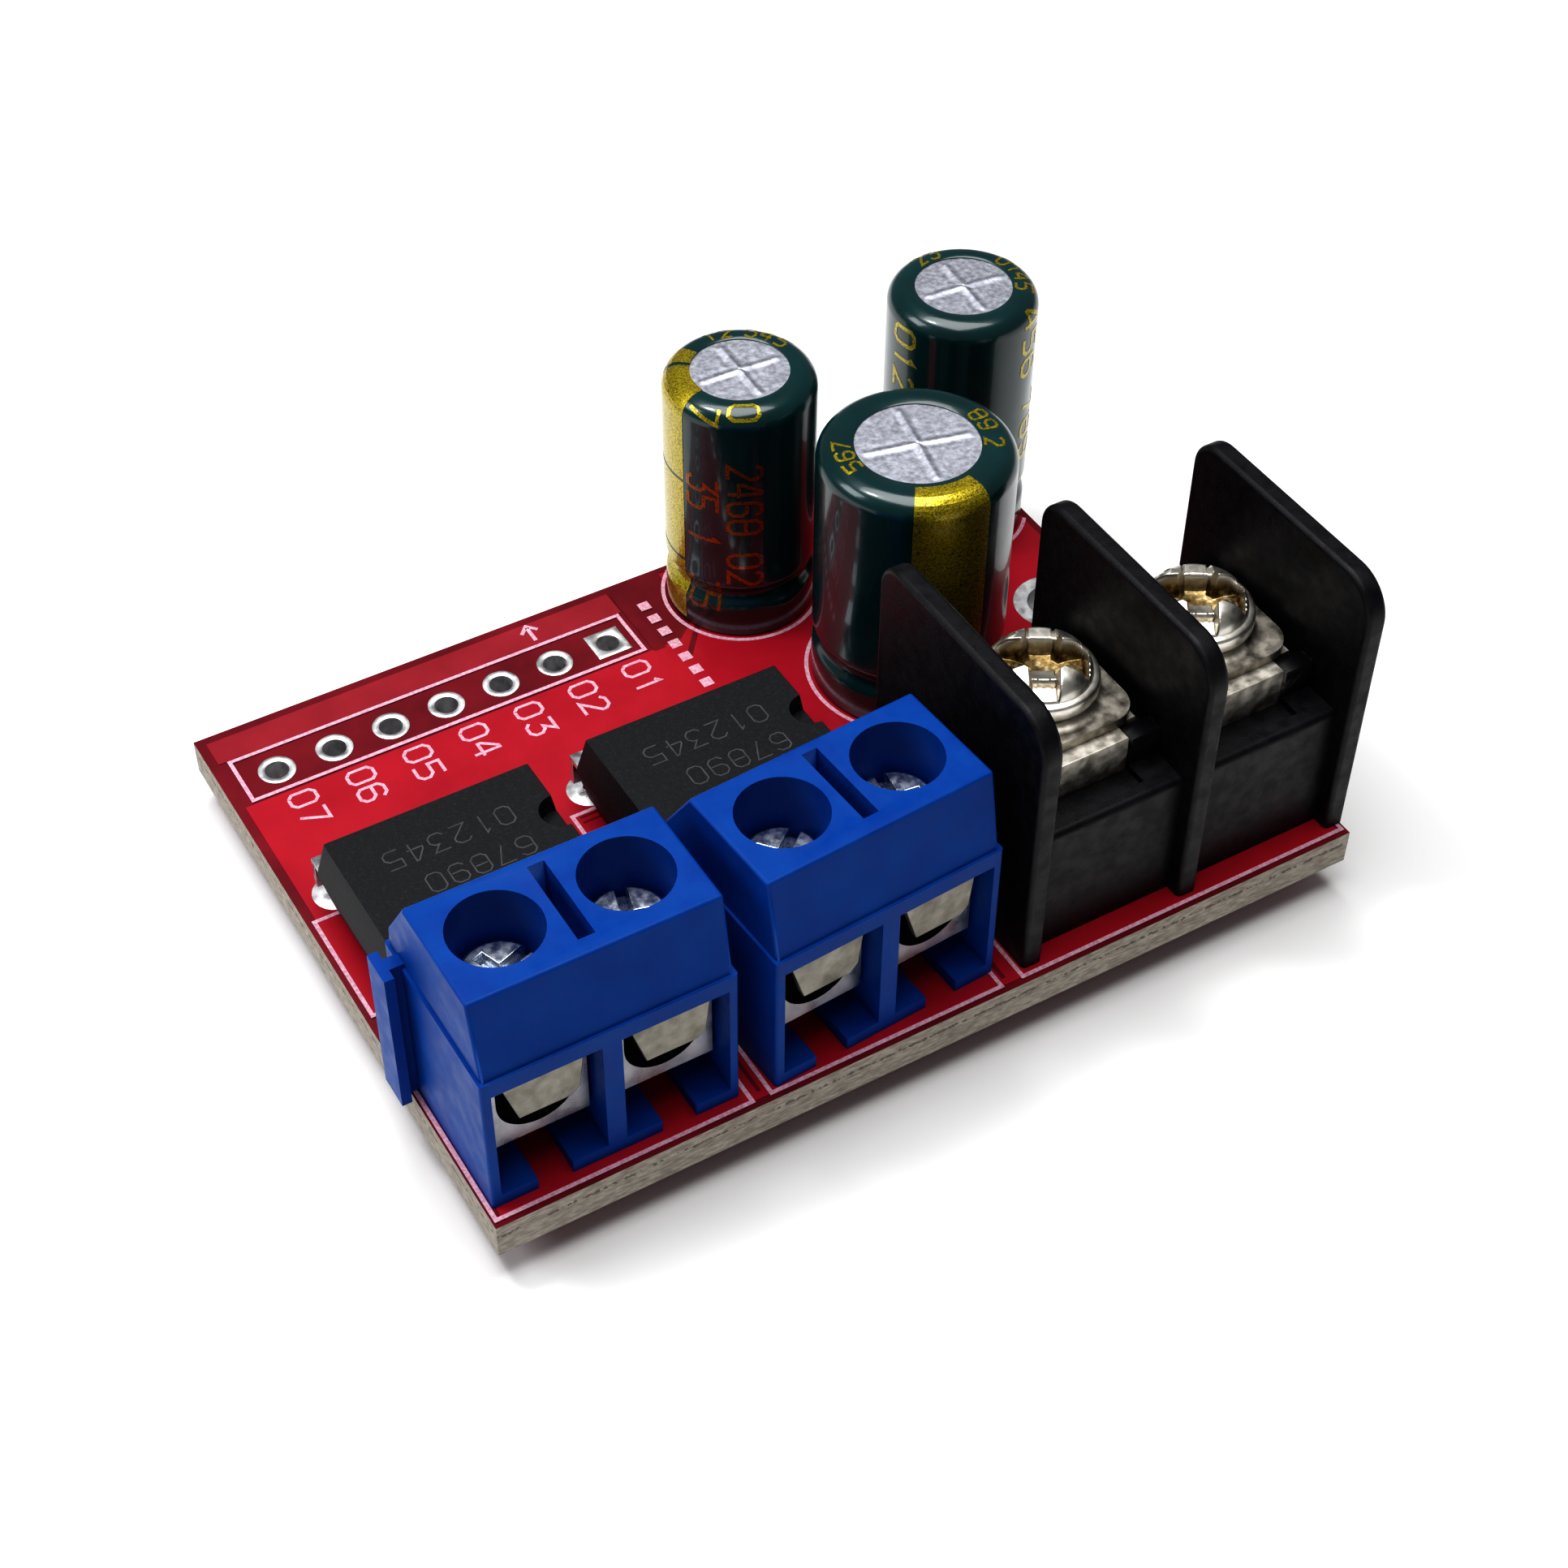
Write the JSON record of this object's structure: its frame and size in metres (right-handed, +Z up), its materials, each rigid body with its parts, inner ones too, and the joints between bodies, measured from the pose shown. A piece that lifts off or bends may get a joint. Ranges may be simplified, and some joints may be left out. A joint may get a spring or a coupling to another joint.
{
  "type": "stepper driver module",
  "caption": "Small red board with bridge driver chips, upright capacitors, blue screw terminals for motor wires and a black screw terminal for power.",
  "frame": {"origin": "middle of the base of the whole module, at the level of the clipped lead ends under the board", "axes": "+X along the board's long front edge, towards the supply terminal; +Y to the header edge; +Z up, out of the component side"},
  "size_m": [0.0388, 0.0282, 0.0157],
  "materials": {
    "red_board": "glossy solder mask on fibreglass",
    "tinned_pads": "bright tin",
    "solder": "bright solder",
    "chip_epoxy": "matte moulded epoxy",
    "copper_frame": "bare copper",
    "silicon": "polished silicon",
    "blue_nylon": "satin moulded nylon",
    "tinned_brass": "bright tin on brass",
    "nickel_guard": "dull nickel",
    "zinc_screw": "bright zinc",
    "black_plastic": "satin moulded thermoset",
    "nickel_screw": "bright nickel",
    "green_sleeve": "glossy shrink film",
    "can_aluminium": "bare aluminium",
    "seal_rubber": "matte rubber",
    "wound_foil": "paper and foil",
    "ceramic_body": "fired ceramic"
  },
  "bodies": {
    "root": {"circuit_board": "red_board", "header_eyelets": "tinned_pads", "mounting_eyelet": "tinned_pads", "solder_joints": "solder", "driver_a_case": "chip_epoxy", "driver_a_leads": "tinned_brass", "driver_a_paddle": "copper_frame", "driver_a_die": "silicon", "driver_b_case": "chip_epoxy", "driver_b_leads": "tinned_brass", "driver_b_paddle": "copper_frame", "driver_b_die": "silicon", "motor_a_housing": "blue_nylon", "motor_a_cage_1": "tinned_brass", "motor_a_cage_2": "tinned_brass", "motor_b_housing": "blue_nylon", "motor_b_cage_1": "tinned_brass", "motor_b_cage_2": "tinned_brass", "supply_housing": "black_plastic", "supply_plate_1": "tinned_brass", "supply_plate_2": "tinned_brass", "capacitor_1_sleeve": "green_sleeve", "capacitor_1_can": "can_aluminium", "capacitor_1_seal": "seal_rubber", "capacitor_1_winding": "wound_foil", "capacitor_1_leads": "tinned_brass", "capacitor_2_sleeve": "green_sleeve", "capacitor_2_can": "can_aluminium", "capacitor_2_seal": "seal_rubber", "capacitor_2_winding": "wound_foil", "capacitor_2_leads": "tinned_brass", "capacitor_3_sleeve": "green_sleeve", "capacitor_3_can": "can_aluminium", "capacitor_3_seal": "seal_rubber", "capacitor_3_winding": "wound_foil", "capacitor_3_leads": "tinned_brass", "regulator_case": "chip_epoxy", "regulator_leads": "tinned_brass", "ceramic_capacitors": "ceramic_body"},
    "guard_a1": {"motor_a_guard_1": "nickel_guard"},
    "screw_a1": {"motor_a_screw_1": "zinc_screw"},
    "guard_a2": {"motor_a_guard_2": "nickel_guard"},
    "screw_a2": {"motor_a_screw_2": "zinc_screw"},
    "guard_b1": {"motor_b_guard_1": "nickel_guard"},
    "screw_b1": {"motor_b_screw_1": "zinc_screw"},
    "guard_b2": {"motor_b_guard_2": "nickel_guard"},
    "screw_b2": {"motor_b_screw_2": "zinc_screw"},
    "washer_s1": {"supply_washer_1": "nickel_screw"},
    "screw_s1": {"supply_screw_1": "nickel_screw"},
    "washer_s2": {"supply_washer_2": "nickel_screw"},
    "screw_s2": {"supply_screw_2": "nickel_screw"}
  },
  "joints": [
    {"name": "guard_a1_slide", "type": "slide", "parent": "root", "child": "guard_a1", "axis": [0, 0, -1], "range_m": [0, 0.0015]},
    {"name": "screw_a1_turn", "type": "hinge", "parent": "guard_a1", "child": "screw_a1", "pos_m": [-0.01608, -0.01001, 0.0097], "axis": [0, 0, -1], "range_deg": [0, 1080]},
    {"name": "guard_a2_slide", "type": "slide", "parent": "root", "child": "guard_a2", "axis": [0, 0, -1], "range_m": [0, 0.0015]},
    {"name": "screw_a2_turn", "type": "hinge", "parent": "guard_a2", "child": "screw_a2", "pos_m": [-0.01108, -0.01001, 0.0097], "axis": [0, 0, -1], "range_deg": [0, 1080]},
    {"name": "guard_b1_slide", "type": "slide", "parent": "root", "child": "guard_b1", "axis": [0, 0, -1], "range_m": [0, 0.0015]},
    {"name": "screw_b1_turn", "type": "hinge", "parent": "guard_b1", "child": "screw_b1", "pos_m": [-0.005, -0.0102, 0.0097], "axis": [0, 0, -1], "range_deg": [0, 1080]},
    {"name": "guard_b2_slide", "type": "slide", "parent": "root", "child": "guard_b2", "axis": [0, 0, -1], "range_m": [0, 0.0015]},
    {"name": "screw_b2_turn", "type": "hinge", "parent": "guard_b2", "child": "screw_b2", "pos_m": [-0.00002, -0.00986, 0.0097], "axis": [0, 0, -1], "range_deg": [0, 1080]},
    {"name": "washer_s1_slide", "type": "slide", "parent": "root", "child": "washer_s1", "axis": [0, 0, 1], "range_m": [0, 0.002]},
    {"name": "screw_s1_turn", "type": "hinge", "parent": "washer_s1", "child": "screw_s1", "pos_m": [0.00783, -0.00763, 0.01137], "axis": [0, 0, 1], "range_deg": [0, 1440]},
    {"name": "washer_s2_slide", "type": "slide", "parent": "root", "child": "washer_s2", "axis": [0, 0, 1], "range_m": [0, 0.002]},
    {"name": "screw_s2_turn", "type": "hinge", "parent": "washer_s2", "child": "screw_s2", "pos_m": [0.01513, -0.00763, 0.01137], "axis": [0, 0, 1], "range_deg": [0, 1440]}
  ],
  "couplings": [
    {"joint": "screw_a1_turn", "follows": "guard_a1_slide", "rad_per_m": 12566},
    {"joint": "screw_a2_turn", "follows": "guard_a2_slide", "rad_per_m": 12566},
    {"joint": "screw_b1_turn", "follows": "guard_b1_slide", "rad_per_m": 12566},
    {"joint": "screw_b2_turn", "follows": "guard_b2_slide", "rad_per_m": 12566},
    {"joint": "screw_s1_turn", "follows": "washer_s1_slide", "rad_per_m": 12566},
    {"joint": "screw_s2_turn", "follows": "washer_s2_slide", "rad_per_m": 12566}
  ]
}
